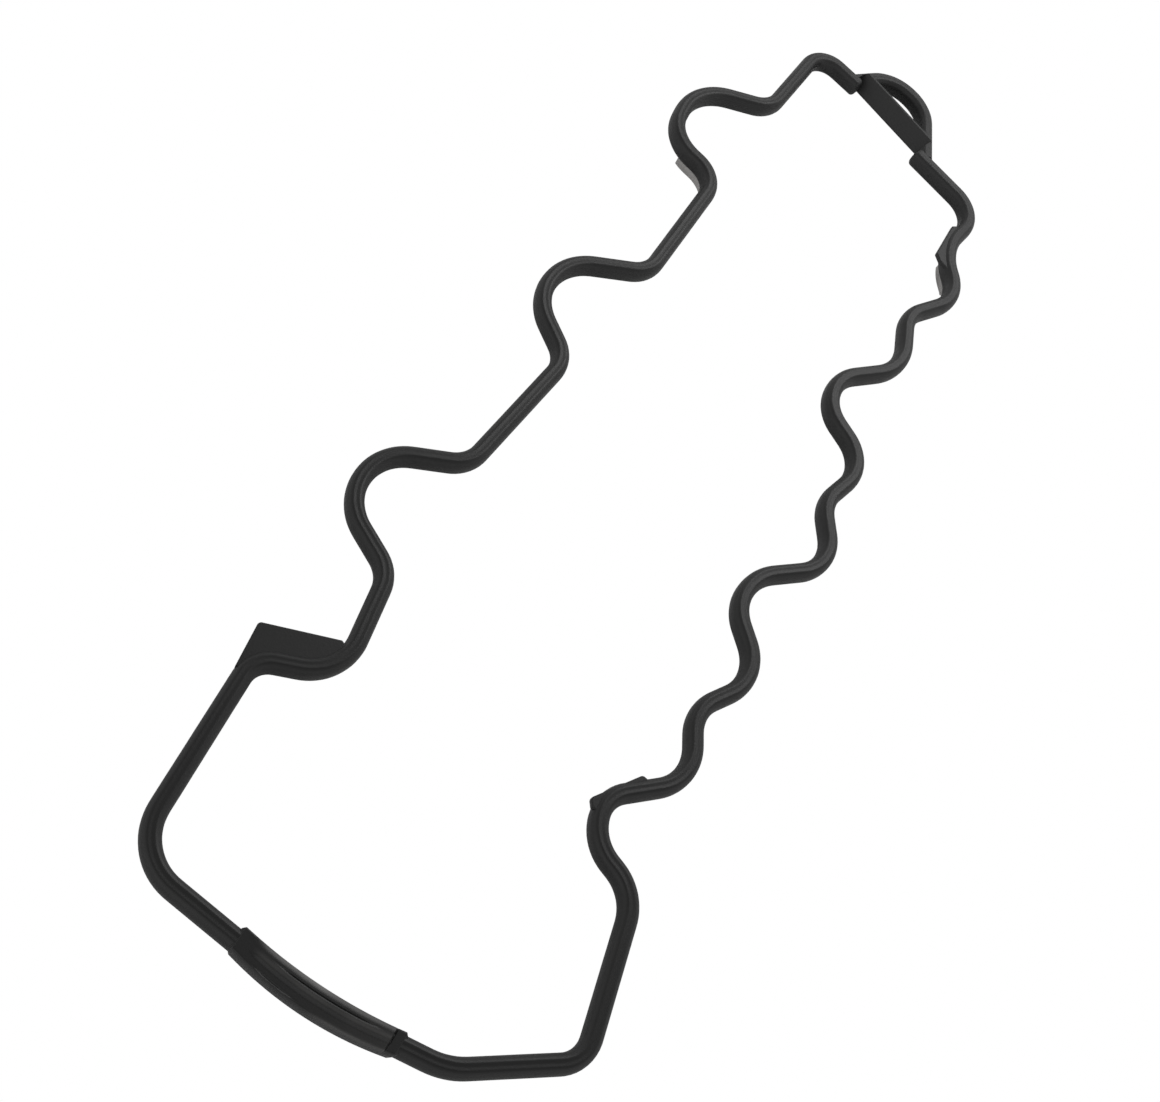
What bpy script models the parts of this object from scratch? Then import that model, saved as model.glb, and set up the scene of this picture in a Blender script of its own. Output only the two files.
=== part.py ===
# Valve cover gasket for one bank of a six cylinder engine, moulded in one piece of black rubber.
# Sizes are in millimetres up here and become metres when a mesh is made.
# X runs along the gasket towards the half-moon loop at its rear, Y runs to its left, Z is up.
# Heights are counted from the underside of the sealing cord until the last step, which stands
# the gasket on its lowest faces with its origin under the middle of its box.

import math

import bpy
import bmesh
from mathutils import Matrix, Vector

MM = 0.001

# Sealing cord: taller than wide, with rounded flanks, a flat underside and a shallow groove on top.
CORD_WIDTH = 6.0
CORD_HEIGHT = 7.2
CORD_SQUARENESS = 2.4
CORD_FLANK_END = 72.0
CORD_FLANK_STEPS = 6
CORD_GROOVE_WIDTH = 1.2
CORD_GROOVE_DEPTH = 0.16

# Outline of the cord's middle line. A corner is (along, across, bend radius).
ARC_STEP = 11.0
BEND_SHARE = 0.49
CLOSEST_RINGS = 0.2
RIGHT_FOOT = (244.1, -7.6)
REAR_RIGHT_CORNER = (237.5, -42.0, 13.0)
RIGHT_SHOULDER = (209.3, -38.7, 24.5)

# Right side, front to rear. Each bay has an inward bump with two corners, a valley, a notch and
# a second valley. Each pair is (how far behind the start of its bay, how far across).
BAY_START = -74.0
BAY_PITCH = 92.5
BAYS = (
    ((0.0, -53.5), (13.0, -48.0), (34.5, -67.5), (54.0, -56.0), (77.0, -68.0)),
    ((0.5, -49.0), (14.5, -49.0), (36.0, -68.5), (55.5, -54.0), (80.0, -59.5)),
    ((-2.5, -37.0), (12.0, -34.0), (34.5, -51.5), (58.0, -41.5), (81.8, -54.3)),
)
BUMP_RADIUS = 18.5
VALLEY_RADIUS = 19.0
NOTCH_RADIUS = 13.5

FRONT_RIGHT_SHOULDER = (-78.5, -70.5, 15.0)
FRONT_RIGHT_CORNER = (-124.5, -83.0, 10.0)
FRONT_RIGHT_BEND = (-147.5, -54.0, 23.0)
FRONT_MIDDLE = (-155.0, -16.0, 90.0)
FRONT_LEFT_CORNER = (-153.5, 42.0, 17.0)
STEP_OUTER = (-93.0, 52.0, 8.5)
STEP_INNER = (-81.0, 30.5, 16.0)

# Left side, front to rear. Three lobes reach out round the bolt bosses. Each has a front foot,
# two crest corners and a rear foot, as (how far behind the start of its lobe, how far across).
LOBE_START = -49.0
LOBE_PITCH = 105.5
LOBES = (
    ((2.0, 39.5), (12.0, 63.0), (32.5, 65.5), (48.5, 43.0)),
    ((-2.0, 42.0), (11.0, 63.0), (31.5, 64.0), (50.5, 40.5)),
    ((2.0, 44.0), (5.0, 68.0), (33.5, 73.5), (50.5, 47.0)),
)
LOBE_FOOT_RADIUS = 12.0
LOBE_CREST_RADIUS = 22.5

REAR_LEFT_CORNER = (257.5, 47.5, 9.0)
LEFT_FOOT = (254.9, 26.2)
END_ROUNDING = 1.6
END_STEPS = 3

# Half-moon loop at the rear, and a bar across it whose front slopes up to a narrow, sharp top.
# Each place is counted from the cord's foot on the same side. The bar's ends are slanted, so that
# they run into the loop's legs: the reach is how far (the front, the rear) goes past each end.
# The bar's front face carries on across both legs, which are cut off in line with it.
LOOP_RIGHT_START = (0.4, -4.8)
LOOP_RIGHT_CORNER = (25.7, 7.5, 16.4)
LOOP_LEFT_CORNER = (16.8, -7.8, 15.6)
LOOP_LEFT_START = (1.1, 3.0)
LOOP_SLIMNESS = 0.97
BAR_RIGHT_END = (7.2, -2.4)
BAR_LEFT_END = (5.2, -0.6)
BAR_RIGHT_REACH = (4.0, -1.6)
BAR_LEFT_REACH = (4.0, 1.0)
FACE_CUT_MARGIN = 8.0
BAR_WIDTH = 5.1
BAR_TOP_WIDTH = 1.1
BAR_FRONT_EDGE = 0.7
BAR_TOP = 7.3
BAR_BOTTOM = 0.15

# Strap across the front: a crescent with a rim, a ridge, a floor and a lip, and a skirt that
# hangs down in front. Its two edges bow forwards from a line through the ends of the inner one.
STRAP_MIDDLE = (-148.9, -16.2)
STRAP_TURN = 4.6
STRAP_LENGTH = 48.0
STRAP_STEPS = 12
STRAP_INNER_BOW = 1.95
STRAP_END_WIDTH = 6.5
STRAP_OUTER_BOW = 2.9
STRAP_TOP = 7.9
STRAP_END_TOP = 7.5
STRAP_END_STEP = 0.3
STRAP_RECESS = 0.6
STRAP_LIP = 0.1
STRAP_EDGE_DROP = 0.6
STRAP_ROOT = 2.2
STRAP_FADE = 5.0
STRAP_END_LENGTH = 2.6
STRAP_END_SLOPE = 0.4
SKIRT_BACK = 0.25
SKIRT_FRONT = 0.82

# Tabs and skirt reach this far below the cord. A tab is (along, across, length, sideways).
DROP = 4.6
TAB_ROOT = 2.4
TAB_THICKNESS = 2.0
TAB_TAPER = 0.24
LOBE_TAB = (160.9, 53.9, 16.0, -0.55)
SHOULDER_TAB = (204.0, -43.8, 12.5, 0.55)

# Flat pads that widen the cord: a thick one at the step, and thin ones on the right side. Each
# place is counted from the cord's corner that the pad belongs to. The hidden ones are inside it.
PAD_BOTTOM = 0.9
THIN_PAD_BOTTOM = 4.4
PAD_TOP = 6.4
PAD_ROUNDING = 1.3
STEP_PAD_START = (-5.5, 2.0)
STEP_PAD_POINT = (8.7, 5.4)
STEP_PAD_NOTCH = (7.6, 6.2)
STEP_PAD_HIDDEN_REAR = ((6.5, 2.8), (0.4, 4.2), (-5.2, 9.2))
STEP_PAD_HIDDEN_FRONT = ((2.2, -3.2), (-4.0, -0.8))
BUMP_PAD_START = (-5.6, 1.2)
BUMP_PAD_FRONT = (-3.5, 3.0)
BUMP_PAD_REAR = (12.2, -5.8)
BUMP_PAD_HIDDEN = ((12.0, -9.6), (3.0, -3.6), (-5.4, -2.2))
SHOULDER_PAD_START = (-7.6, -1.2)
SHOULDER_PAD_FRONT = (-5.1, 1.7)
SHOULDER_PAD_REAR = (12.3, 2.6)
SHOULDER_PAD_HIDDEN = ((15.5, -0.2), (5.8, -1.6), (-3.8, -4.6), (-8.9, -6.8))

RUBBER_COLOUR = (0.018, 0.018, 0.018, 1.0)
RUBBER_ROUGHNESS = 0.55


def clear_scene():
    for item in list(bpy.data.objects):
        bpy.data.objects.remove(item, do_unlink=True)


def rubber():
    material = bpy.data.materials.new("black_rubber")
    material.use_nodes = True
    shader = material.node_tree.nodes["Principled BSDF"]
    shader.inputs["Base Color"].default_value = RUBBER_COLOUR
    shader.inputs["Roughness"].default_value = RUBBER_ROUGHNESS
    shader.inputs["Metallic"].default_value = 0.0
    return material


def bend(before, corner, after):
    """Points of the round bend that replaces a corner, tightened where its runs are too short."""
    x, y, wanted_radius = corner
    point = Vector((x, y))
    run_before = Vector(before[:2]) - point
    run_after = Vector(after[:2]) - point
    towards_before = run_before.normalized()
    towards_after = run_after.normalized()
    turn = math.pi - towards_before.angle(towards_after)
    longest_reach = BEND_SHARE * min(run_before.length, run_after.length)
    reach = min(wanted_radius * math.tan(turn / 2), longest_reach)
    radius = reach / math.tan(turn / 2)
    centre = point + (towards_before + towards_after).normalized() * (radius / math.cos(turn / 2))
    start = point + towards_before * reach - centre
    end = point + towards_after * reach - centre
    first = math.atan2(start.y, start.x)
    sweep_angle = (math.atan2(end.y, end.x) - first + math.pi) % (2 * math.pi) - math.pi
    steps = max(2, math.ceil(math.degrees(abs(sweep_angle)) / ARC_STEP))
    points = []
    for step in range(steps + 1):
        angle = first + sweep_angle * step / steps
        points.append(centre + radius * Vector((math.cos(angle), math.sin(angle))))
    return points


def right_side():
    """Corners from the rear to the front along the waved side."""
    corners = [REAR_RIGHT_CORNER, RIGHT_SHOULDER]
    radii = (BUMP_RADIUS, BUMP_RADIUS, VALLEY_RADIUS, NOTCH_RADIUS, VALLEY_RADIUS)
    for bay in reversed(range(len(BAYS))):
        start = BAY_START + bay * BAY_PITCH
        for (behind, across), radius in reversed(list(zip(BAYS[bay], radii))):
            corners.append((start + behind, across, radius))
    return corners


def front_end():
    return [
        FRONT_RIGHT_SHOULDER,
        FRONT_RIGHT_CORNER,
        FRONT_RIGHT_BEND,
        FRONT_MIDDLE,
        FRONT_LEFT_CORNER,
        STEP_OUTER,
        STEP_INNER,
    ]


def left_side():
    """Corners from the front to the rear along the side with the lobes."""
    corners = []
    radii = (LOBE_FOOT_RADIUS, LOBE_CREST_RADIUS, LOBE_CREST_RADIUS, LOBE_FOOT_RADIUS)
    for lobe in range(len(LOBES)):
        start = LOBE_START + lobe * LOBE_PITCH
        for (behind, across), radius in zip(LOBES[lobe], radii):
            corners.append((start + behind, across, radius))
    return corners


def outline():
    """Middle line of the cord, from the loop's right foot round to its left foot."""
    corners = right_side() + front_end() + left_side() + [REAR_LEFT_CORNER]
    points = [Vector(RIGHT_FOOT)]
    for index, corner in enumerate(corners):
        before = corners[index - 1] if index > 0 else RIGHT_FOOT
        after = corners[index + 1] if index + 1 < len(corners) else LEFT_FOOT
        points += bend(before, corner, after)
    points.append(Vector(LEFT_FOOT))
    return points


def stretch(points, near, length):
    """The part of a line that is centred on its point nearest to a place."""
    distances = [0.0]
    for first, second in zip(points, points[1:]):
        distances.append(distances[-1] + (second - first).length)
    best_gap = math.inf
    middle = 0.0
    for index in range(len(points) - 1):
        run = points[index + 1] - points[index]
        share = (Vector(near) - points[index]).dot(run) / run.length_squared
        share = min(max(share, 0.0), 1.0)
        gap = (points[index] + run * share - Vector(near)).length
        if gap < best_gap:
            best_gap = gap
            middle = distances[index] + run.length * share
    low = middle - length / 2
    high = middle + length / 2
    part = [at_distance(points, distances, low)]
    first = low + CLOSEST_RINGS
    last = high - CLOSEST_RINGS
    part += [point for point, far in zip(points, distances) if first < far < last]
    part.append(at_distance(points, distances, high))
    return part


def at_distance(points, distances, wanted):
    for index in range(len(points) - 1):
        if wanted <= distances[index + 1]:
            share = (wanted - distances[index]) / (distances[index + 1] - distances[index])
            return points[index].lerp(points[index + 1], share)
    return points[-1].copy()


def side_directions(points):
    """At each point, the sideways direction, lengthened so that a mitred sweep keeps its width."""
    directions = []
    for index in range(len(points)):
        before = points[max(index - 1, 0)]
        here = points[index]
        after = points[min(index + 1, len(points) - 1)]
        arriving = (here - before if index > 0 else after - here).normalized()
        leaving = (after - here if index + 1 < len(points) else here - before).normalized()
        side_in = Vector((-arriving.y, arriving.x))
        side_out = Vector((-leaving.y, leaving.x))
        middle = (side_in + side_out).normalized()
        directions.append(middle / middle.dot(side_in))
    return directions


def new_object(name, shape):
    bmesh.ops.recalc_face_normals(shape, faces=shape.faces[:])
    mesh = bpy.data.meshes.new(name)
    shape.to_mesh(mesh)
    shape.free()
    item = bpy.data.objects.new(name, mesh)
    bpy.context.scene.collection.objects.link(item)
    return item


def swept(name, points, section, scales=None):
    """A closed solid: the section, as (sideways, height) pairs, drawn along a level line."""
    rings = []
    scales = scales or [1.0] * len(points)
    for point, side, scale in zip(points, side_directions(points), scales):
        ring = []
        for sideways, height in section:
            place = point + side * sideways * scale
            ring.append((place.x, place.y, CORD_HEIGHT / 2 + (height - CORD_HEIGHT / 2) * scale))
        rings.append(ring)
    return skinned(name, rings)


def skinned(name, rings):
    """A closed solid through a row of rings that all have the same number of points."""
    shape = bmesh.new()
    rows = [[shape.verts.new([size * MM for size in place]) for place in ring] for ring in rings]
    count = len(rings[0])
    for first, second in zip(rows, rows[1:]):
        for index in range(count):
            following = (index + 1) % count
            shape.faces.new((first[index], first[following], second[following], second[index]))
    shape.faces.new(rows[0][::-1])
    shape.faces.new(rows[-1])
    return new_object(name, shape)


def slab(name, corners, low, high):
    """A flat plate with the given outline."""
    shape = bmesh.new()
    bottom = shape.faces.new([shape.verts.new((x * MM, y * MM, low * MM)) for x, y in corners])
    raised = bmesh.ops.extrude_face_region(shape, geom=[bottom])
    top = [item for item in raised["geom"] if isinstance(item, bmesh.types.BMVert)]
    bmesh.ops.translate(shape, verts=top, vec=(0.0, 0.0, (high - low) * MM))
    return new_object(name, shape)


def cord_section():
    """Rounded flanks from a superellipse, a flat underside and a groove along the top."""
    middle = CORD_HEIGHT / 2
    power = 2 / CORD_SQUARENESS
    end = math.radians(CORD_FLANK_END)
    flank = []
    for step in range(CORD_FLANK_STEPS + 1):
        angle = end * (2 * step / CORD_FLANK_STEPS - 1)
        sideways = CORD_WIDTH / 2 * math.cos(angle) ** power
        rise = (abs(math.sin(angle)) / math.sin(end)) ** power
        flank.append((sideways, middle + middle * math.copysign(rise, angle)))
    flank.append((CORD_GROOVE_WIDTH / 2, CORD_HEIGHT - CORD_GROOVE_DEPTH))
    return flank + [(-sideways, height) for sideways, height in reversed(flank)]


def rounded_end(before, tip):
    """Places and scales that round off an end of the cord, from its full section to the tip."""
    ahead = (tip - before).normalized()
    stations = []
    for step in range(END_STEPS + 1):
        angle = math.radians(90.0 * step / END_STEPS)
        place = tip - ahead * END_ROUNDING * (1 - math.sin(angle))
        scale = 1 - END_ROUNDING * (1 - math.cos(angle)) / (CORD_WIDTH / 2)
        stations.append((place, scale))
    return stations


def cord(line):
    stations = rounded_end(line[1], line[0])[::-1]
    stations += [(point, 1.0) for point in line[1:-1]]
    stations += rounded_end(line[-2], line[-1])
    places = [place for place, scale in stations]
    scales = [scale for place, scale in stations]
    return swept("gasket", places, cord_section(), scales)


def offset_from(corner, shift):
    return Vector(corner[:2]) + Vector(shift)


def bar_frame():
    """The bar's two ends and its leftward and forward directions."""
    right = offset_from(RIGHT_FOOT, BAR_RIGHT_END)
    left = offset_from(LEFT_FOOT, BAR_LEFT_END)
    leftwards = (left - right).normalized()
    return right, left, leftwards, Vector((-leftwards.y, leftwards.x))


def face_cutter():
    """Everything in front of the bar's sloping face, between the cord's two ends."""
    right, left, leftwards, forwards = bar_frame()
    side = BAR_WIDTH / 2
    far = side + FACE_CUT_MARGIN
    section = [
        (side, BAR_BOTTOM - FACE_CUT_MARGIN),
        (side, BAR_BOTTOM + BAR_FRONT_EDGE),
        (BAR_TOP_WIDTH - side, BAR_TOP),
        (BAR_TOP_WIDTH - side, BAR_TOP + FACE_CUT_MARGIN),
        (far, BAR_TOP + FACE_CUT_MARGIN),
        (far, BAR_BOTTOM - FACE_CUT_MARGIN),
    ]
    first = right + leftwards * (Vector(RIGHT_FOOT) - right).dot(leftwards)
    last = right + leftwards * (Vector(LEFT_FOOT) - right).dot(leftwards)
    return swept("face_cutter", [first, last], section)


def loop():
    start = offset_from(RIGHT_FOOT, LOOP_RIGHT_START)
    right = (*offset_from(RIGHT_FOOT, LOOP_RIGHT_CORNER[:2]), LOOP_RIGHT_CORNER[2])
    left = (*offset_from(LEFT_FOOT, LOOP_LEFT_CORNER[:2]), LOOP_LEFT_CORNER[2])
    end = offset_from(LEFT_FOOT, LOOP_LEFT_START)
    points = [start] + bend(start, right, left) + bend(right, left, end) + [end]
    whole = swept("loop", points, cord_section(), [LOOP_SLIMNESS] * len(points))
    combine(whole, face_cutter(), "DIFFERENCE")
    return whole


def bar():
    """Straight bar across the loop: a sloping front face, a narrow top and an upright back."""
    side = BAR_WIDTH / 2
    section = [
        (side, BAR_BOTTOM),
        (side, BAR_BOTTOM + BAR_FRONT_EDGE),
        (BAR_TOP_WIDTH - side, BAR_TOP),
        (-side, BAR_TOP),
        (-side, BAR_BOTTOM),
    ]
    right, left, leftwards, forwards = bar_frame()
    ends = ((right, -leftwards, BAR_RIGHT_REACH), (left, leftwards, BAR_LEFT_REACH))
    rings = []
    for end, outwards, (front_reach, rear_reach) in ends:
        ring = []
        for sideways, height in section:
            reach = rear_reach + (front_reach - rear_reach) * (sideways + side) / BAR_WIDTH
            place = end + forwards * sideways + outwards * reach
            ring.append((place.x, place.y, height))
        rings.append(ring)
    return skinned("bar", rings)


def strap_section():
    """(share of the width from the inner edge, height, height in the end blocks)."""
    floor = STRAP_TOP - STRAP_RECESS
    halfway = STRAP_TOP - STRAP_RECESS / 2
    edge_top = STRAP_END_TOP - STRAP_EDGE_DROP
    return [
        (SKIRT_BACK, STRAP_ROOT, STRAP_ROOT),
        (0.0, STRAP_ROOT, STRAP_ROOT),
        (0.0, floor, edge_top),
        (0.05, STRAP_TOP - STRAP_LIP, STRAP_END_TOP),
        (0.15, STRAP_TOP, STRAP_END_TOP),
        (0.22, halfway, STRAP_END_TOP),
        (0.29, floor, STRAP_END_TOP),
        (0.36, halfway, STRAP_END_TOP),
        (0.46, STRAP_TOP, STRAP_END_TOP),
        (0.56, halfway, STRAP_END_TOP),
        (0.66, floor, STRAP_END_TOP),
        (0.84, floor - STRAP_LIP, STRAP_END_TOP),
        (0.91, floor + STRAP_LIP, STRAP_END_TOP),
        (1.0, floor - STRAP_EDGE_DROP, edge_top),
        (1.0, CORD_HEIGHT / 2, CORD_HEIGHT / 2),
        (SKIRT_FRONT, -DROP, -DROP),
        (SKIRT_BACK, -DROP, -DROP),
    ]


def strap_stations():
    """How far along the strap each ring lies, and how much relief it has: none in the blocks."""
    half = STRAP_LENGTH / 2
    recess = half - STRAP_END_LENGTH
    block = recess + STRAP_END_SLOPE
    stations = [(-half, None), (-block, None)]
    for step in range(STRAP_STEPS + 1):
        along = recess * (2 * step / STRAP_STEPS - 1)
        stations.append((along, min((recess - abs(along)) / STRAP_FADE, 1.0)))
    return stations + [(block, None), (half, None)]


def strap():
    forwards = Matrix.Rotation(math.radians(STRAP_TURN), 2) @ Vector((-1.0, 0.0))
    rightwards = Vector((-forwards.y, forwards.x))
    rings = []
    for along, relief in strap_stations():
        bow = 1 - (2 * along / STRAP_LENGTH) ** 2
        base = Vector(STRAP_MIDDLE) + rightwards * along
        inner = base + forwards * STRAP_INNER_BOW * bow
        outer = base + forwards * (STRAP_END_WIDTH + STRAP_OUTER_BOW * bow)
        ring = []
        for share, height, level in strap_section():
            if relief is not None and height > CORD_HEIGHT / 2:
                low = level - STRAP_END_STEP
                level = low + (height - low) * relief
            place = inner.lerp(outer, share)
            ring.append((place.x, place.y, level))
        rings.append(ring)
    return skinned("strap", rings)


def tab(line, place):
    """Short wall under the cord that follows its bend."""
    along, across, length, offset = place
    half = TAB_THICKNESS / 2
    section = [
        (offset + half, TAB_ROOT),
        (offset - half, TAB_ROOT),
        (offset - half + TAB_TAPER, -DROP),
        (offset + half - TAB_TAPER, -DROP),
    ]
    return swept("tab", stretch(line, (along, across), length), section)


def rounded_corner(before, corner, after):
    return bend(before, (corner.x, corner.y, PAD_ROUNDING), after)


def step_pad():
    """Carries the left side's outer edge on past the step to a corner, then cuts back."""
    before = offset_from(STEP_OUTER, STEP_PAD_START)
    point = offset_from(STEP_OUTER, STEP_PAD_POINT)
    notch = offset_from(STEP_INNER, STEP_PAD_NOTCH)
    corners = [before] + rounded_corner(before, point, notch) + [notch]
    corners += [offset_from(STEP_INNER, place) for place in STEP_PAD_HIDDEN_REAR]
    return corners + [offset_from(STEP_OUTER, place) for place in STEP_PAD_HIDDEN_FRONT]


def bump_pad():
    """Fills the first bump's rear flank out to a straight edge."""
    bump = (BAY_START + BAYS[0][1][0], BAYS[0][1][1])
    before = offset_from(bump, BUMP_PAD_START)
    front = offset_from(bump, BUMP_PAD_FRONT)
    rear = offset_from(bump, BUMP_PAD_REAR)
    hidden = [offset_from(bump, place) for place in BUMP_PAD_HIDDEN]
    corners = [before] + rounded_corner(before, front, rear)
    return corners + rounded_corner(front, rear, hidden[0]) + hidden


def shoulder_pad():
    """Straightens the outside of the shoulder between two corners."""
    before = offset_from(RIGHT_SHOULDER, SHOULDER_PAD_START)
    front = offset_from(RIGHT_SHOULDER, SHOULDER_PAD_FRONT)
    rear = offset_from(RIGHT_SHOULDER, SHOULDER_PAD_REAR)
    hidden = [offset_from(RIGHT_SHOULDER, place) for place in SHOULDER_PAD_HIDDEN]
    return [before] + rounded_corner(before, front, rear) + [rear] + hidden


def pads():
    return [
        slab("pad", step_pad(), PAD_BOTTOM, PAD_TOP),
        slab("pad", bump_pad(), THIN_PAD_BOTTOM, PAD_TOP),
        slab("pad", shoulder_pad(), THIN_PAD_BOTTOM, PAD_TOP),
    ]


def combine(base, other, operation):
    """Applies one Boolean to the base and removes the other solid."""
    modifier = base.modifiers.new(other.name, "BOOLEAN")
    modifier.operation = operation
    modifier.solver = "EXACT"
    modifier.object = other
    graph = bpy.context.evaluated_depsgraph_get()
    result = bpy.data.meshes.new_from_object(base.evaluated_get(graph))
    base.modifiers.clear()
    base.data = result
    bpy.data.objects.remove(other, do_unlink=True)


def seat(item):
    """Moves the mesh so that the origin is under the middle of its box, at its lowest face."""
    places = [vertex.co for vertex in item.data.vertices]
    low = Vector([min(place[axis] for place in places) for axis in range(3)])
    high = Vector([max(place[axis] for place in places) for axis in range(3)])
    shift = Vector(((low.x + high.x) / 2, (low.y + high.y) / 2, low.z))
    for vertex in item.data.vertices:
        vertex.co -= shift


def main():
    clear_scene()
    line = outline()
    gasket = cord(line)
    tabs = [tab(line, LOBE_TAB), tab(line, SHOULDER_TAB)]
    for piece in [loop(), bar(), strap()] + tabs + pads():
        combine(gasket, piece, "UNION")
    seat(gasket)
    gasket.data.materials.clear()
    gasket.data.materials.append(rubber())
    gasket.data.shade_smooth()
    gasket.data.set_sharp_from_angle(angle=math.radians(35.0))


main()
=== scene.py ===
# Valve cover gasket lying on a white studio table, seen from above its front end.
import math

import bmesh
import bpy
from mathutils import Matrix, Vector, noise


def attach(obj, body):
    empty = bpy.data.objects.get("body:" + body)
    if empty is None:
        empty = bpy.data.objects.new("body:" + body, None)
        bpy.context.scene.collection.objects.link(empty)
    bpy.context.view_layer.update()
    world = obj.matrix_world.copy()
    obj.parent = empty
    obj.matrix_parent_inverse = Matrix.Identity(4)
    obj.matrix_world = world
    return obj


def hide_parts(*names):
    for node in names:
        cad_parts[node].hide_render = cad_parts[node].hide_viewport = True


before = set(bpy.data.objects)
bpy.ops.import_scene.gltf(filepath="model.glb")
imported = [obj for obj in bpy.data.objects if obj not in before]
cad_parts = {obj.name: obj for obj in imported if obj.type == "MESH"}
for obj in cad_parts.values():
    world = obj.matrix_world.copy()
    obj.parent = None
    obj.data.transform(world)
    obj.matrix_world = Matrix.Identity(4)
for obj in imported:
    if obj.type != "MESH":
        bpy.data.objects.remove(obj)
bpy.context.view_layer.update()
print("frame loaded")

# The gasket's own sizes are in millimetres, counted along its outline as in the part's source.
mm = 0.001
originInOutline = Vector((57.566, -5.205, -4.6))  # where the frame's origin lies in those sizes

# Middle line of the cord. A corner is (along, across, bend radius), and a place in a bay or a lobe
# is (how far behind its start, how far across).
outlineShape = {
    "rightFoot": (244.1, -7.6),
    "rearRight": [(237.5, -42.0, 13.0), (209.3, -38.7, 24.5)],
    "bayStart": -74.0,
    "bayPitch": 92.5,
    "bays": (
        ((0.0, -53.5), (13.0, -48.0), (34.5, -67.5), (54.0, -56.0), (77.0, -68.0)),
        ((0.5, -49.0), (14.5, -49.0), (36.0, -68.5), (55.5, -54.0), (80.0, -59.5)),
        ((-2.5, -37.0), (12.0, -34.0), (34.5, -51.5), (58.0, -41.5), (81.8, -54.3)),
    ),
    "bayRadii": (18.5, 18.5, 19.0, 13.5, 19.0),
    "front": [
        (-78.5, -70.5, 15.0),
        (-124.5, -83.0, 10.0),
        (-147.5, -54.0, 23.0),
        (-155.0, -16.0, 90.0),
        (-153.5, 42.0, 17.0),
    ],
    "step": [(-93.0, 52.0, 8.5), (-81.0, 30.5, 16.0)],
    "lobeStart": -49.0,
    "lobePitch": 105.5,
    "lobes": (
        ((2.0, 39.5), (12.0, 63.0), (32.5, 65.5), (48.5, 43.0)),
        ((-2.0, 42.0), (11.0, 63.0), (31.5, 64.0), (50.5, 40.5)),
        ((2.0, 44.0), (5.0, 68.0), (33.5, 73.5), (50.5, 47.0)),
    ),
    "lobeRadii": (12.0, 22.5, 22.5, 12.0),
    "rearLeft": (257.5, 47.5, 9.0),
    "leftFoot": (254.9, 26.2),
}

cordLook = {
    "width": 5.9,
    "height": 7.2,
    "squareness": 2.4,
    "flankEnd": 72.0,  # degrees up the flank where the flat underside and top begin
    "flankSteps": 6,
    "grooveHalf": 0.85,
    "grooveDepth": 0.08,
    # Points across the groove, in shares of its half width and of its depth.
    "grooveShape": ((1, 0), (0.6, 0.3), (0.25, 0.9), (-0.25, 0.9), (-0.6, 0.3), (-1, 0)),
    "seamSize": 0.045,  # how far the mould's parting line stands out
    "seamPatch": 2.5,
    "wave": 0.006,  # share by which the section swells and thins
    "wavePatch": 14.0,
    "spacing": 1.3,
    "bendStep": 4.0,
    "bendShare": 0.49,
    "endRounding": 1.6,
    "endClearance": 0.5,  # free run between the rounded end and the next ring
    "endSteps": 6,
}


def bendPoints(before, corner, after, look=cordLook):
    x, y, wantedRadius = corner
    point = Vector((x, y))
    runBefore = Vector(before[:2]) - point
    runAfter = Vector(after[:2]) - point
    towardsBefore = runBefore.normalized()
    towardsAfter = runAfter.normalized()
    turn = math.pi - towardsBefore.angle(towardsAfter)
    longest = look["bendShare"] * min(runBefore.length, runAfter.length)
    reach = min(wantedRadius * math.tan(turn / 2), longest)
    radius = reach / math.tan(turn / 2)
    middle = (towardsBefore + towardsAfter).normalized()
    centre = point + middle * (radius / math.cos(turn / 2))
    start = point + towardsBefore * reach - centre
    end = point + towardsAfter * reach - centre
    first = math.atan2(start.y, start.x)
    sweep = (math.atan2(end.y, end.x) - first + math.pi) % (2 * math.pi) - math.pi
    steps = max(3, math.ceil(math.degrees(abs(sweep)) / look["bendStep"]))
    angles = [first + sweep * step / steps for step in range(steps + 1)]
    return [centre + radius * Vector((math.cos(angle), math.sin(angle))) for angle in angles]


def outlineCorners(shape):
    corners = list(shape["rearRight"])
    for bay in reversed(range(len(shape["bays"]))):
        start = shape["bayStart"] + bay * shape["bayPitch"]
        for (behind, across), radius in reversed(list(zip(shape["bays"][bay], shape["bayRadii"]))):
            corners.append((start + behind, across, radius))
    corners += shape["front"] + shape["step"]
    for lobe, places in enumerate(shape["lobes"]):
        start = shape["lobeStart"] + lobe * shape["lobePitch"]
        for (behind, across), radius in zip(places, shape["lobeRadii"]):
            corners.append((start + behind, across, radius))
    return corners + [shape["rearLeft"]]


def outlineLine(shape):
    ends = [shape["rightFoot"]] + outlineCorners(shape) + [shape["leftFoot"]]
    points = [Vector(shape["rightFoot"])]
    for before, corner, after in zip(ends, ends[1:], ends[2:]):
        points += bendPoints(before, corner, after)
    return points + [Vector(shape["leftFoot"])]


def evenly(points, spacing):  # the same line with its points at even distances
    distances = [0.0]
    for first, second in zip(points, points[1:]):
        distances.append(distances[-1] + (second - first).length)
    count = max(2, round(distances[-1] / spacing))
    result = []
    index = 0
    for step in range(count + 1):
        wanted = distances[-1] * step / count
        while index < len(points) - 2 and distances[index + 1] < wanted:
            index += 1
        run = distances[index + 1] - distances[index]
        share = (wanted - distances[index]) / run if run else 0.0
        result.append(points[index].lerp(points[index + 1], min(max(share, 0.0), 1.0)))
    return result


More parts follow.
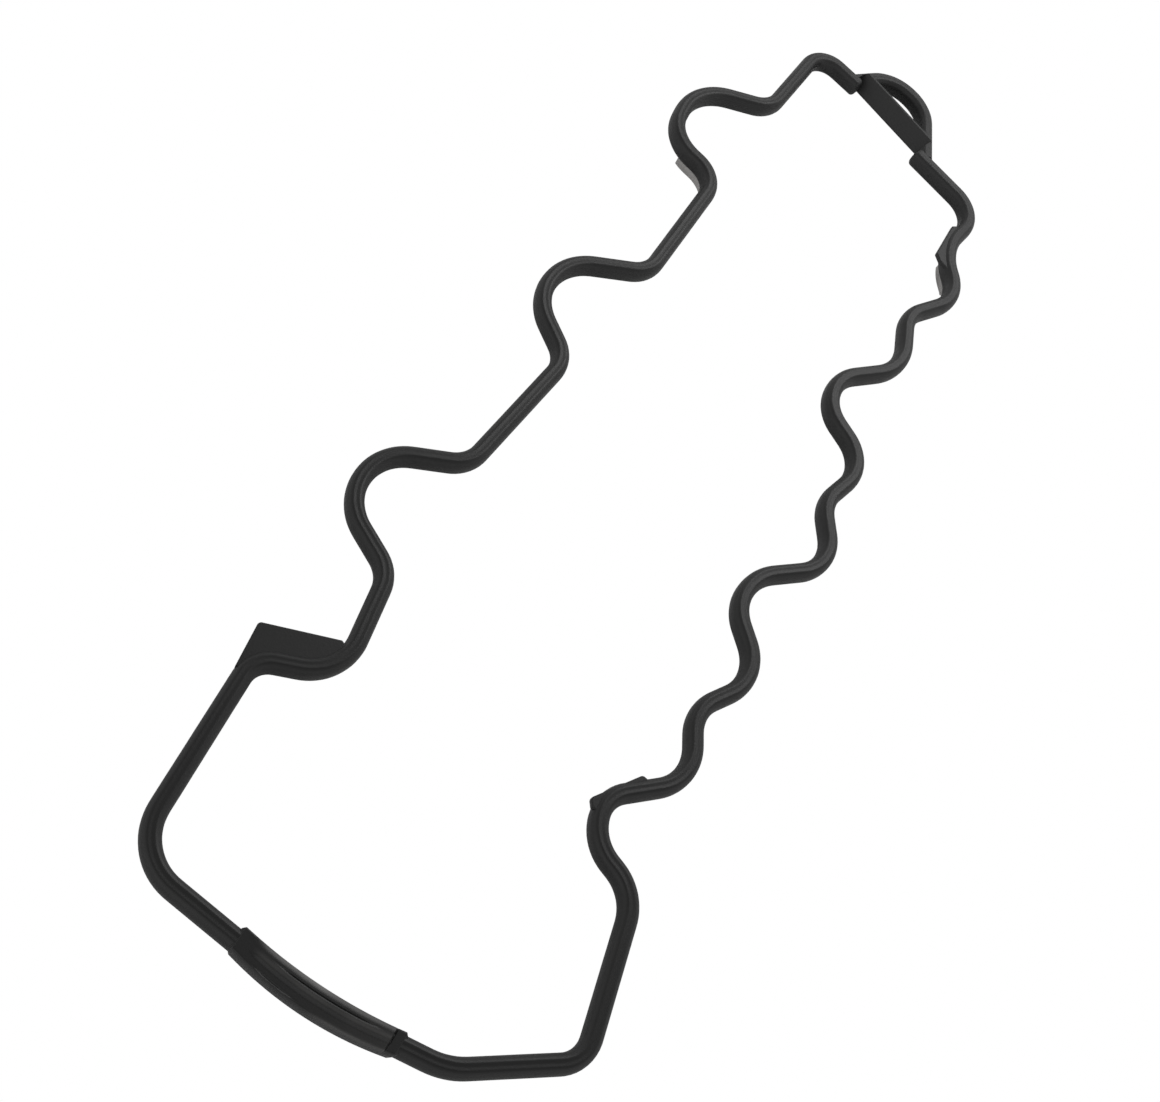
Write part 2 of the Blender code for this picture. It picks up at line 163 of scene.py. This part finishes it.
def sideDirections(points):  # lengthened in bends, so that a sweep keeps its width
    directions = []
    for index in range(len(points)):
        here = points[index]
        before = points[max(index - 1, 0)]
        after = points[min(index + 1, len(points) - 1)]
        arriving = (here - before if index > 0 else after - here).normalized()
        leaving = (after - here if index + 1 < len(points) else here - before).normalized()
        middle = Vector((-arriving.y - leaving.y, arriving.x + leaving.x)).normalized()
        directions.append(middle / middle.dot(Vector((-arriving.y, arriving.x))))
    return directions


# One mesh gathers every shell of the moulding. Its vertex attribute says where the rubber is
# painted pale: painted highlights along the strap's rim, ridge and lip, and the tabs painted pale
# grey.
def newMoulding():
    shape = bmesh.new()
    return {"shape": shape, "paleness": shape.verts.layers.float.new("paleness")}


def addSkin(moulding, rings, palenesses=None):
    shape = moulding["shape"]
    rows = []
    for number, ring in enumerate(rings):
        row = []
        for index, place in enumerate(ring):
            vertex = shape.verts.new((Vector(place) - originInOutline) * mm)
            vertex[moulding["paleness"]] = palenesses[number][index] if palenesses else 0.0
            row.append(vertex)
        rows.append(row)
    count = len(rings[0])
    for first, second in zip(rows, rows[1:]):
        for index in range(count):
            following = (index + 1) % count
            shape.faces.new((first[index], first[following], second[following], second[index]))
    shape.faces.new(rows[0][::-1])
    shape.faces.new(rows[-1])


def sweptRings(points, sectionAt):  # sectionAt(index, point) gives (sideways, height) pairs
    rings = []
    for index, (point, side) in enumerate(zip(points, sideDirections(points))):
        ring = []
        for sideways, height in sectionAt(index, point):
            place = point + side * sideways
            ring.append((place.x, place.y, height))
        rings.append(ring)
    return rings


def cordSection(look, swell, seam):
    middle = look["height"] / 2
    power = 2 / look["squareness"]
    end = math.radians(look["flankEnd"])
    flank = []
    for step in range(look["flankSteps"] * 2 + 1):
        angle = end * (step / look["flankSteps"] - 1)
        sideways = look["width"] / 2 * math.cos(angle) ** power
        rise = (abs(math.sin(angle)) / math.sin(end)) ** power
        if step == look["flankSteps"]:
            sideways += seam
        flank.append((sideways * swell, middle + middle * math.copysign(rise, angle)))
    groove = []
    for place, share in look["grooveShape"]:
        groove.append((look["grooveHalf"] * place, look["height"] - look["grooveDepth"] * share))
    return flank + groove + [(-sideways, height) for sideways, height in reversed(flank)]


def scaledSection(section, scale, look):  # shrunk towards the cord's middle height
    middle = look["height"] / 2
    return [(sideways * scale, middle + (height - middle) * scale) for sideways, height in section]


def livelySection(look, slimness=1.0):  # the cord's section with its small swells and ragged seam
    def sectionAt(index, point):
        place = point.to_3d()
        swell = 1 + look["wave"] * (noise.noise(place / look["wavePatch"]) - 1)
        seam = look["seamSize"] * (0.5 + 0.5 * noise.noise(place / look["seamPatch"]))
        return scaledSection(cordSection(look, swell, seam), slimness, look)

    return sectionAt


def addCord(moulding, line, look=cordLook):
    rounding = look["endRounding"]
    ends = []
    for tip, inner in ((line[0], line[1]), (line[-1], line[-2])):
        ahead = (tip - inner).normalized()
        stations = []
        for step in range(look["endSteps"] + 1):
            angle = math.radians(90.0 * step / look["endSteps"])
            scale = 1 - rounding * (1 - math.cos(angle)) / (look["width"] / 2)
            stations.append((tip - ahead * rounding * (1 - math.sin(angle)), scale))
        ends.append(stations)
    inside = []
    for point in line:
        toEnd = min((point - line[0]).length, (point - line[-1]).length)
        if toEnd > rounding + look["endClearance"]:
            inside.append((point, 1.0))
    stations = ends[0][::-1] + inside + ends[1]
    lively = livelySection(look)

    def sectionAt(index, point):
        return scaledSection(lively(index, point), stations[index][1], look)

    addSkin(moulding, sweptRings([point for point, scale in stations], sectionAt))


# Half-moon loop. Places are counted from the cord's foot on the same side, and a reach is how far
# (the front, the rear) of the bar goes past its end.
loopLook = {
    "rightStart": (0.4, -4.8),
    "rightCorner": (25.7, 7.5, 16.4),
    "leftCorner": (16.8, -7.8, 15.6),
    "leftStart": (1.1, 3.0),
    "slimness": 0.97,
    "barRight": (7.2, -2.4),
    "barLeft": (5.2, -0.6),
    "rightReach": (4.0, -1.6),
    "leftReach": (4.0, 1.0),
    "barWidth": 5.1,
    "barTopWidth": 1.1,
    "barFrontEdge": 0.7,
    "barTop": 7.3,
    "barBottom": 0.15,
    "edgeRadius": 0.22,
    "cutMargin": 8.0,
    "cutSetback": 0.04,  # keeps the legs' cut faces just behind the bar's face
    "cutPastLeft": 2.8,
}


def moved(place, shift):
    return Vector(place[:2]) + Vector(shift[:2])


def barFrame(look, shape=outlineShape):
    right = moved(shape["rightFoot"], look["barRight"])
    left = moved(shape["leftFoot"], look["barLeft"])
    return right, left, (left - right).normalized()


def meshOf(rings):
    alone = newMoulding()
    addSkin(alone, rings)
    bmesh.ops.recalc_face_normals(alone["shape"], faces=alone["shape"].faces[:])
    mesh = bpy.data.meshes.new("shell")
    alone["shape"].to_mesh(mesh)
    alone["shape"].free()
    return mesh


def cutMesh(mesh, cutterMesh):  # what is left of a shell after a cut
    pieces = []
    for data in (mesh, cutterMesh):
        piece = bpy.data.objects.new("shell", data)
        bpy.context.scene.collection.objects.link(piece)
        pieces.append(piece)
    cut = pieces[0].modifiers.new("cut", "BOOLEAN")
    cut.operation = "DIFFERENCE"
    cut.solver = "EXACT"
    cut.object = pieces[1]
    graph = bpy.context.evaluated_depsgraph_get()
    result = bpy.data.meshes.new_from_object(pieces[0].evaluated_get(graph))
    for piece in pieces:
        bpy.data.objects.remove(piece, do_unlink=True)
    return result


def addLoop(moulding, look=loopLook, shape=outlineShape):
    start = moved(shape["rightFoot"], look["rightStart"])
    right = (*moved(shape["rightFoot"], look["rightCorner"]), look["rightCorner"][2])
    left = (*moved(shape["leftFoot"], look["leftCorner"]), look["leftCorner"][2])
    end = moved(shape["leftFoot"], look["leftStart"])
    line = [start] + bendPoints(start, right, left) + bendPoints(right, left, end) + [end]
    rings = sweptRings(evenly(line, cordLook["spacing"]), livelySection(cordLook, look["slimness"]))
    barRight, _, leftwards = barFrame(look)
    side = look["barWidth"] / 2
    far = look["cutMargin"]
    section = [
        (side, look["barBottom"] - far),
        (side, look["barBottom"] + look["barFrontEdge"]),
        (look["barTopWidth"] - side, look["barTop"]),
        (look["barTopWidth"] - side, look["barTop"] + far),
        (side + far, look["barTop"] + far),
        (side + far, look["barBottom"] - far),
    ]
    section = [(sideways - look["cutSetback"], height) for sideways, height in section]
    ends = []
    for foot, further in ((shape["rightFoot"], 0.0), (shape["leftFoot"], look["cutPastLeft"])):
        ends.append(barRight + leftwards * ((Vector(foot) - barRight).dot(leftwards) + further))
    loop = meshOf(rings)
    cutter = meshOf(sweptRings(ends, lambda index, point: section))
    moulding["shape"].from_mesh(cutMesh(loop, cutter))


# How the small edges are rounded.
edgeLook = {
    "bendShare": 0.45,
    "bendStep": 22.5,
}


def roundedSection(section, radius, look=edgeLook):
    points = []
    for index, corner in enumerate(section):
        following = section[(index + 1) % len(section)]
        points += bendPoints(section[index - 1], (*corner, radius), following, look)
    return [tuple(point) for point in points]


def addBar(moulding, look=loopLook):
    side = look["barWidth"] / 2
    section = roundedSection([
        (side, look["barBottom"]),
        (side, look["barBottom"] + look["barFrontEdge"]),
        (look["barTopWidth"] - side, look["barTop"]),
        (-side, look["barTop"]),
        (-side, look["barBottom"]),
    ], look["edgeRadius"])
    right, left, leftwards = barFrame(look)
    forwards = Vector((-leftwards.y, leftwards.x))
    ends = ((right, -leftwards, look["rightReach"]), (left, leftwards, look["leftReach"]))
    rings = []
    for end, outwards, (frontReach, rearReach) in ends:
        ring = []
        for sideways, height in section:
            reach = rearReach + (frontReach - rearReach) * (sideways + side) / look["barWidth"]
            place = end + forwards * sideways + outwards * reach
            ring.append((place.x, place.y, height))
        rings.append(ring)
    addSkin(moulding, rings)


# Strap across the front. Shares are parts of its width, counted from the inner edge.
strapLook = {
    "middle": (-148.9, -16.2),
    "turn": 4.6,
    "length": 48.0,
    "innerBow": 1.95,
    "endWidth": 6.5,
    "outerBow": 2.88,
    "top": 7.9,
    "endTop": 7.35,
    "edgeRadius": 0.5,
    "rimWidth": 0.24,
    "rimDrop": 0.6,
    "groovePlace": 0.3,
    "grooveWidth": 0.03,
    "grooveDepth": 0.42,
    "grooveRange": (-14.5, 19.5),
    "grooveFade": 8.0,
    "floorPlace": 0.6,
    "floorSoftness": 0.16,
    "floorDepth": 0.55,
    "linePlace": 0.9,
    "lineWidth": 0.025,
    "lineDepth": 0.26,
    "lineRange": (-20.0, -2.0),
    "leftPatch": 3.4,  # plain run at the left end
    "leftFade": 4.5,
    "tipLength": 0.9,
    "tipSize": 0.78,
    "blockLength": 2.9,  # plain block at the right end
    "creaseWidth": 0.35,
    "creaseDepth": 0.28,
    "creaseReach": 1.2,  # how far down from the top the crease is pressed in
    "skirtBack": 0.25,
    "skirtFront": 0.82,
    "root": 2.2,
    "drop": 4.6,
    "rings": 84,
    "topSteps": 40,
}

# Painted highlights on the strap: where its rim, ridge and lower lip are painted pale as if lit,
# how much, and a slight paleness that grows towards the right end.
strapHighlightLook = {
    "rim": 0.7,
    "rimAtEnds": 0.35,  # share of the rim's painted highlight that is left at the strap's ends
    "ridge": 0.12,
    "ridgePlace": 0.44,
    "ridgeWidth": 0.09,
    "rightHalf": 0.045,
    "lip": 0.2,
    "lipPlace": 0.97,
    "lipWidth": 0.05,
    "lipStart": -2.0,
    "lipFade": 8.0,
    "everywhere": 0.012,
}


def smooth(value):
    value = min(max(value, 0.0), 1.0)
    return value * value * (3 - 2 * value)


def within(along, span, fade):  # 1 inside a span, falling softly to 0 at its ends
    return smooth((along - span[0]) / fade) * smooth((span[1] - along) / fade)


def hollow(share, place, width):
    return math.exp(-(((share - place) / width) ** 2))


def strapRelief(along, look):  # how far the pattern has come in from the plain left end
    return smooth((along + look["length"] / 2 - look["leftPatch"]) / look["leftFade"])


def strapHeight(share, along, look):  # height of the strap's top at one place
    relief = strapRelief(along, look)
    level = look["endTop"] + (look["top"] - look["endTop"]) * relief
    rim = look["rimDrop"] * relief * max(1 - share / look["rimWidth"], 0.0) ** 2
    groove = look["grooveDepth"] * hollow(share, look["groovePlace"], look["grooveWidth"])
    groove *= within(along, look["grooveRange"], look["grooveFade"])
    floor = look["floorDepth"] * smooth((share - look["floorPlace"]) / look["floorSoftness"] + 0.5)
    line = look["lineDepth"] * hollow(share, look["linePlace"], look["lineWidth"])
    line *= within(along, look["lineRange"], look["grooveFade"])
    return level - rim - groove - floor * relief - line


# Painted highlight: the lit rim, ridge and lip of the strap, put into the colour, plus a slight
# paleness that grows towards the right end.
def strapHighlight(share, along, look, paleness=strapHighlightLook):
    half = look["length"] / 2
    rim = paleness["rim"] * max(1 - share / look["rimWidth"], 0.0)
    rim *= paleness["rimAtEnds"] + (1 - paleness["rimAtEnds"]) * within(along, (-half, half), half)
    ridge = paleness["ridge"] * hollow(share, paleness["ridgePlace"], paleness["ridgeWidth"])
    rightHalf = paleness["rightHalf"] * smooth(along / half)
    lip = paleness["lip"] * hollow(share, paleness["lipPlace"], paleness["lipWidth"])
    lip *= smooth((along - paleness["lipStart"]) / paleness["lipFade"])
    return (rim + ridge + rightHalf + lip + paleness["everywhere"]) * strapRelief(along, look)


def strapRing(along, look, inBlock):
    forwards = Matrix.Rotation(math.radians(look["turn"]), 2) @ Vector((-1.0, 0.0))
    rightwards = Vector((-forwards.y, forwards.x))
    bow = max(1 - (2 * along / look["length"]) ** 2, 0.0)
    base = Vector(look["middle"]) + rightwards * along
    inner = base + forwards * look["innerBow"] * bow
    outer = base + forwards * (look["endWidth"] + look["outerBow"] * bow)
    width = (outer - inner).length
    edge = look["edgeRadius"] / width
    ring = []
    palenesses = []
    for step in range(look["topSteps"] + 1):
        share = step / look["topSteps"]
        height = look["endTop"] if inBlock else strapHeight(share, along, look)
        rim = max(edge - min(share, 1 - share), 0.0) / edge
        height -= look["edgeRadius"] * (1 - math.sqrt(max(1 - rim * rim, 0.0)))
        place = inner.lerp(outer, share)
        ring.append((place.x, place.y, height))
        # painted highlight on the strap's top, none on the plain end block
        palenesses.append(0.0 if inBlock else strapHighlight(share, along, look))
    low = [
        (1.0, cordLook["height"] / 2),
        (look["skirtFront"], -look["drop"]),
        (look["skirtBack"], -look["drop"]),
        (look["skirtBack"], look["root"]),
        (0.0, look["root"]),
    ]
    for share, height in low:
        place = inner.lerp(outer, share)
        ring.append((place.x, place.y, height))
        palenesses.append(0.0)
    return ring, palenesses


def lowered(ring, above, depth):
    return [(x, y, height - depth if height > above else height) for x, y, height in ring]


def strapTip(along, look):  # a smaller ring that lets an end of the strap run into the cord
    ring, palenesses = strapRing(along, look, True)
    middle = Vector((0.0, 0.0, 0.0))
    for place in ring:
        middle += Vector(place) / len(ring)
    middle.z = cordLook["height"] / 2
    return [tuple(middle.lerp(Vector(place), look["tipSize"])) for place in ring], palenesses


def addStrap(moulding, look=strapLook):
    half = look["length"] / 2
    reach = look["length"] - look["blockLength"]
    stations = [(reach * step / look["rings"] - half, False) for step in range(look["rings"] + 1)]
    crease = stations[-1][0] + look["creaseWidth"]
    stations += [(crease, True), (crease + look["creaseWidth"], True), (half, True)]
    made = [strapRing(along, look, inBlock) for along, inBlock in stations]
    ring, palenesses = made[-3]
    made[-3] = (lowered(ring, look["endTop"] - look["creaseReach"], look["creaseDepth"]), palenesses)
    made.insert(0, strapTip(-half - look["tipLength"], look))
    made.append(strapTip(half + look["tipLength"], look))
    addSkin(moulding, [ring for ring, palenesses in made], [palenesses for ring, palenesses in made])


# Short walls under the cord, as (along, across, length, sideways).
tabLook = {
    "places": ((160.9, 53.9, 16.0, -0.55), (204.0, -43.8, 12.5, 0.55)),
    "root": 2.4,
    "drop": 4.6,
    "thickness": 2.0,
    "taper": 0.24,
    "edgeRadius": 0.35,
    # how strongly the tabs are painted pale grey
    "paleness": 2.0,
}


def addTabs(moulding, line, look=tabLook):
    half = look["thickness"] / 2
    for along, across, length, offset in look["places"]:
        centre = Vector((along, across))
        middle = min(range(len(line)), key=lambda index: (line[index] - centre).length)
        reach = round(length / 2 / cordLook["spacing"])
        part = line[middle - reach:middle + reach + 1]
        section = roundedSection([
            (offset + half, look["root"]),
            (offset - half, look["root"]),
            (offset - half + look["taper"], -look["drop"]),
            (offset + half - look["taper"], -look["drop"]),
        ], look["edgeRadius"])
        rings = sweptRings(part, lambda index, point: section)
        addSkin(moulding, rings, [[look["paleness"]] * len(section)] * len(rings))


# Flat pads that widen the cord, each counted from the corner that it belongs to. The hidden places
# lie inside the cord.
padLook = {
    "top": 6.4,
    "thickBottom": 0.9,
    "thinBottom": 4.4,
    "rounding": 1.3,
    "edgeRadius": 0.35,
    "edgeSteps": 3,
    "stepStart": (-5.5, 2.0),
    "stepPoint": (8.7, 5.4),
    "stepNotch": (7.6, 6.2),
    "stepHiddenRear": ((6.5, 2.8), (0.4, 4.2), (-5.2, 9.2)),
    "stepHiddenFront": ((2.2, -3.2), (-4.0, -0.8)),
    "bumpStart": (-5.6, 1.2),
    "bumpFront": (-3.5, 3.0),
    "bumpRear": (12.2, -5.8),
    "bumpHidden": ((12.0, -9.6), (3.0, -3.6), (-5.4, -2.2)),
    "shoulderStart": (-7.6, -1.2),
    "shoulderFront": (-5.1, 1.7),
    "shoulderRear": (12.3, 2.6),
    "shoulderHidden": ((15.5, -0.2), (5.8, -1.6), (-3.8, -4.6), (-8.9, -6.8)),
}


def addSlab(moulding, corners, low, high, look=padLook):
    plate = bmesh.new()
    flat = [(Vector((x, y, low)) - originInOutline) * mm for x, y in corners]
    bottom = plate.faces.new([plate.verts.new(place) for place in flat])
    raised = bmesh.ops.extrude_face_region(plate, geom=[bottom])["geom"]
    top = [item for item in raised if isinstance(item, bmesh.types.BMVert)]
    bmesh.ops.translate(plate, verts=top, vec=(0.0, 0.0, (high - low) * mm))
    bmesh.ops.recalc_face_normals(plate, faces=plate.faces[:])
    rims = []
    for edge in plate.edges:
        first, second = edge.verts
        if abs(first.co.z - second.co.z) < 0.1 * mm:
            rims.append(edge)
    radius = look["edgeRadius"] * mm
    steps = look["edgeSteps"]
    bmesh.ops.bevel(plate, geom=rims, offset=radius, segments=steps, profile=0.5, affect="EDGES")
    mesh = bpy.data.meshes.new("shell")
    plate.to_mesh(mesh)
    plate.free()
    moulding["shape"].from_mesh(mesh)


def addPads(moulding, look=padLook, shape=outlineShape):
    rounding = look["rounding"]
    stepOuter, stepInner = shape["step"]
    before = moved(stepOuter, look["stepStart"])
    point = moved(stepOuter, look["stepPoint"])
    notch = moved(stepInner, look["stepNotch"])
    corners = [before] + bendPoints(before, (*point, rounding), notch) + [notch]
    corners += [moved(stepInner, place) for place in look["stepHiddenRear"]]
    corners += [moved(stepOuter, place) for place in look["stepHiddenFront"]]
    addSlab(moulding, corners, look["thickBottom"], look["top"])
    bump = (shape["bayStart"] + shape["bays"][0][1][0], shape["bays"][0][1][1])
    before = moved(bump, look["bumpStart"])
    front = moved(bump, look["bumpFront"])
    rear = moved(bump, look["bumpRear"])
    hidden = [moved(bump, place) for place in look["bumpHidden"]]
    corners = [before] + bendPoints(before, (*front, rounding), rear)
    corners += bendPoints(front, (*rear, rounding), hidden[0]) + hidden
    addSlab(moulding, corners, look["thinBottom"], look["top"])
    shoulder = shape["rearRight"][1]
    before = moved(shoulder, look["shoulderStart"])
    front = moved(shoulder, look["shoulderFront"])
    rear = moved(shoulder, look["shoulderRear"])
    hidden = [moved(shoulder, place) for place in look["shoulderHidden"]]
    corners = [before] + bendPoints(before, (*front, rounding), rear) + [rear] + hidden
    addSlab(moulding, corners, look["thinBottom"], look["top"])


# Which corners stay crisp, in degrees, and from which size in square metres a face is shaded flat.
shadingLook = {
    "sharpAngle": 38.0,
    "flatArea": 0.000008,
}


def makeGasket(material, look=shadingLook):
    line = evenly(outlineLine(outlineShape), cordLook["spacing"])
    moulding = newMoulding()
    addCord(moulding, line)
    addLoop(moulding)
    addBar(moulding)
    addStrap(moulding)
    addTabs(moulding, line)
    addPads(moulding)
    shape = moulding["shape"]
    bmesh.ops.recalc_face_normals(shape, faces=shape.faces[:])
    mesh = bpy.data.meshes.new("mouldedGasket")
    shape.to_mesh(mesh)
    shape.free()
    mesh.shade_smooth()
    mesh.set_sharp_from_angle(angle=math.radians(look["sharpAngle"]))
    for face in mesh.polygons:
        face.use_smooth = face.area < look["flatArea"]
    mesh.materials.append(material)
    gasket = bpy.data.objects.new("mouldedGasket", mesh)
    bpy.context.scene.collection.objects.link(gasket)
    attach(gasket, "root")
    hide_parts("gasket")


rubberLook = {
    "dark": (0.0030, 0.0031, 0.0033, 1.0),
    "worn": (0.0078, 0.0078, 0.0075, 1.0),
    # pale grey painted in by the vertex attribute: painted highlights on the strap, and the pale
    # tabs
    "paleTone": (0.38, 0.37, 0.36, 1.0),
    "roughness": 0.5,
    "specular": 0.42,
    "cloudSize": 0.014,
    "cloudDetail": 6.0,
    "grainSize": 0.0006,
    "grainDetail": 3.0,
    "grainDepth": 0.00003,
}


def addNode(tree, kind, **settings):
    node = tree.nodes.new(kind)
    for name, value in settings.items():
        setattr(node, name, value)
    return node


def makeRubber(look):
    material = bpy.data.materials.new("mouldedRubber")
    material.use_nodes = True
    tree = material.node_tree
    tree.nodes.clear()
    shader = addNode(tree, "ShaderNodeBsdfPrincipled")
    output = addNode(tree, "ShaderNodeOutputMaterial")
    tree.links.new(shader.outputs["BSDF"], output.inputs["Surface"])
    place = addNode(tree, "ShaderNodeTexCoord")
    cloud = addNode(tree, "ShaderNodeTexNoise")
    cloud.inputs["Scale"].default_value = 1.0 / look["cloudSize"]
    cloud.inputs["Detail"].default_value = look["cloudDetail"]
    grain = addNode(tree, "ShaderNodeTexNoise")
    grain.inputs["Scale"].default_value = 1.0 / look["grainSize"]
    grain.inputs["Detail"].default_value = look["grainDetail"]
    worn = addNode(tree, "ShaderNodeMix", data_type="RGBA")
    worn.inputs[6].default_value = look["dark"]
    worn.inputs[7].default_value = look["worn"]
    # The strap's painted highlights and the pale tabs come from the vertex attribute, broken up by
    # the cloud noise.
    paleness = addNode(tree, "ShaderNodeAttribute", attribute_name="paleness")
    patchy = addNode(tree, "ShaderNodeMath", operation="MULTIPLY")
    pale = addNode(tree, "ShaderNodeMix", data_type="RGBA")
    pale.inputs[7].default_value = look["paleTone"]
    bump = addNode(tree, "ShaderNodeBump")
    bump.inputs["Distance"].default_value = look["grainDepth"]
    tree.links.new(place.outputs["Object"], cloud.inputs["Vector"])
    tree.links.new(place.outputs["Object"], grain.inputs["Vector"])
    tree.links.new(cloud.outputs["Fac"], worn.inputs["Factor"])
    tree.links.new(paleness.outputs["Fac"], patchy.inputs[0])
    tree.links.new(cloud.outputs["Fac"], patchy.inputs[1])
    tree.links.new(patchy.outputs["Value"], pale.inputs["Factor"])
    tree.links.new(worn.outputs[2], pale.inputs[6])
    tree.links.new(pale.outputs[2], shader.inputs["Base Color"])
    tree.links.new(grain.outputs["Fac"], bump.inputs["Height"])
    tree.links.new(bump.outputs["Normal"], shader.inputs["Normal"])
    shader.inputs["Roughness"].default_value = look["roughness"]
    shader.inputs["Specular IOR Level"].default_value = look["specular"]
    return material


studioLook = {
    "floorSize": 6.0,
    "floorColour": (0.8, 0.8, 0.8, 1.0),
    "white": (1.0, 1.0, 1.0, 1.0),
    "horizonStrength": 1.2,
    "zenithStrength": 0.1,
    "lamps": (  # name, place, size, power
        ("rearSoftbox", (0.42, -0.05, 0.5), 0.35, 1.8),
        ("frontSoftbox", (-0.8, 0.3, 0.75), 0.9, 1.5),
    ),
}


def showToCamera(tree, outputKind, lighting, seen):  # what lights the gasket, and what is seen
    path = addNode(tree, "ShaderNodeLightPath")
    mix = addNode(tree, "ShaderNodeMixShader")
    output = addNode(tree, outputKind)
    tree.links.new(path.outputs["Is Camera Ray"], mix.inputs["Fac"])
    tree.links.new(lighting, mix.inputs[1])
    tree.links.new(seen, mix.inputs[2])
    tree.links.new(mix.outputs["Shader"], output.inputs["Surface"])


def makeFloor(look):
    material = bpy.data.materials.new("whiteTable")
    material.use_nodes = True
    tree = material.node_tree
    tree.nodes.clear()
    diffuse = addNode(tree, "ShaderNodeBsdfDiffuse")
    diffuse.inputs["Color"].default_value = look["floorColour"]
    glow = addNode(tree, "ShaderNodeEmission")
    glow.inputs["Color"].default_value = look["white"]
    kind = "ShaderNodeOutputMaterial"
    showToCamera(tree, kind, diffuse.outputs["BSDF"], glow.outputs["Emission"])
    half = look["floorSize"] / 2
    corners = [(-half, -half, 0), (half, -half, 0), (half, half, 0), (-half, half, 0)]
    mesh = bpy.data.meshes.new("table")
    mesh.from_pydata(corners, [], [(0, 1, 2, 3)])
    mesh.materials.append(material)
    floor = bpy.data.objects.new("table", mesh)
    bpy.context.scene.collection.objects.link(floor)


def makeWorld(look):
    world = bpy.data.worlds.new("studio")
    bpy.context.scene.world = world
    world.use_nodes = True
    tree = world.node_tree
    tree.nodes.clear()
    soft = addNode(tree, "ShaderNodeBackground")
    soft.inputs["Color"].default_value = look["white"]
    place = addNode(tree, "ShaderNodeTexCoord")
    parts = addNode(tree, "ShaderNodeSeparateXYZ")
    strength = addNode(tree, "ShaderNodeMapRange")
    strength.inputs["To Min"].default_value = look["horizonStrength"]
    strength.inputs["To Max"].default_value = look["zenithStrength"]
    tree.links.new(place.outputs["Generated"], parts.inputs["Vector"])
    tree.links.new(parts.outputs["Z"], strength.inputs["Value"])
    tree.links.new(strength.outputs["Result"], soft.inputs["Strength"])
    white = addNode(tree, "ShaderNodeBackground")
    white.inputs["Color"].default_value = look["white"]
    kind = "ShaderNodeOutputWorld"
    showToCamera(tree, kind, soft.outputs["Background"], white.outputs["Background"])


def addLamps(look):
    for name, place, size, power in look["lamps"]:
        data = bpy.data.lights.new(name, "AREA")
        data.shape = "SQUARE"
        data.size = size
        data.energy = power
        lamp = bpy.data.objects.new(name, data)
        lamp.location = place
        lamp.rotation_mode = "QUATERNION"
        lamp.rotation_quaternion = (-Vector(place)).to_track_quat("-Z", "Y")
        bpy.context.scene.collection.objects.link(lamp)


# Where the picture is taken from. The target is a point at the cord's middle height.
cameraLook = {
    "target": Vector((-0.05757, 0.00521, 0.0082)),
    "distance": 0.4536,
    "elevation": 57.0,
    "roll": 38.0,
    "lens": 46.0,
    "sensor": 36.0,
    "clipStart": 0.01,
}


def makeCamera(look):
    data = bpy.data.cameras.new("view")
    data.sensor_width = look["sensor"]
    data.lens = look["lens"]
    data.clip_start = look["clipStart"]
    camera = bpy.data.objects.new("view", data)
    up = math.radians(look["elevation"])
    roll = math.radians(look["roll"])
    forward = Vector((math.cos(up), 0.0, -math.sin(up)))
    level = Vector((0.0, -1.0, 0.0))
    upright = Vector((math.sin(up), 0.0, math.cos(up)))
    right = level * math.cos(roll) + upright * math.sin(roll)
    top = upright * math.cos(roll) - level * math.sin(roll)
    turn = Matrix((right, top, -forward)).transposed()
    place = look["target"] - forward * look["distance"]
    camera.matrix_world = Matrix.Translation(place) @ turn.to_4x4()
    bpy.context.scene.collection.objects.link(camera)
    bpy.context.scene.camera = camera


makeGasket(makeRubber(rubberLook))
print("gasket done")
makeFloor(studioLook)
makeWorld(studioLook)
addLamps(studioLook)
makeCamera(cameraLook)
bpy.context.scene.view_settings.view_transform = "Standard"
print("studio done")
